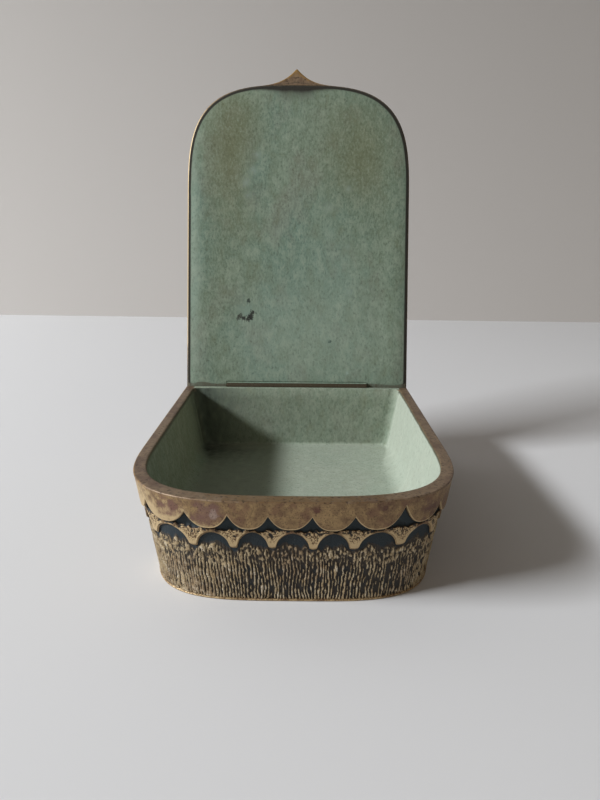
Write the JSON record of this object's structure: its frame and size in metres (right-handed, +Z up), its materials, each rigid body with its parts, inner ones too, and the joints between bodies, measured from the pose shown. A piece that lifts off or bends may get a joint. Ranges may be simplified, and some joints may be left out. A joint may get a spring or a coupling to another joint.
{
  "type": "trinket box",
  "caption": "Small cast bronze trinket box with a D-shaped tray, a wall with hanging lappets and a flat hinged lid with a pointed thumb tab, shown open.",
  "frame": {"origin": "on the table, under the middle of the bounding box of the open box", "axes": "+Z up, -Y out of the rounded front of the box, +X along the hinge line, to the right seen from the front"},
  "size_m": [0.09, 0.1512, 0.1542],
  "materials": {
    "tray_bronze": "patinated, worn gold on the relief, dark in the hollows, green inside",
    "lid_bronze": "patinated, matt green on the inner face",
    "hinge_bronze": "brown patina, satin",
    "pin_brass": "drawn wire, satin"
  },
  "bodies": {
    "tray": {"tray": "tray_bronze", "tray_knuckle_left": "hinge_bronze", "tray_knuckle_centre": "hinge_bronze", "tray_knuckle_right": "hinge_bronze", "hinge_pin": "pin_brass"},
    "lid": {"lid": "lid_bronze", "lid_knuckle_left": "hinge_bronze", "lid_knuckle_right": "hinge_bronze"}
  },
  "joints": [
    {"name": "lid_hinge", "type": "hinge", "parent": "tray", "child": "lid", "pos_m": [0, 0.04606, 0.02915], "axis": [1, 0, 0], "range_deg": [0, 102.3]}
  ]
}
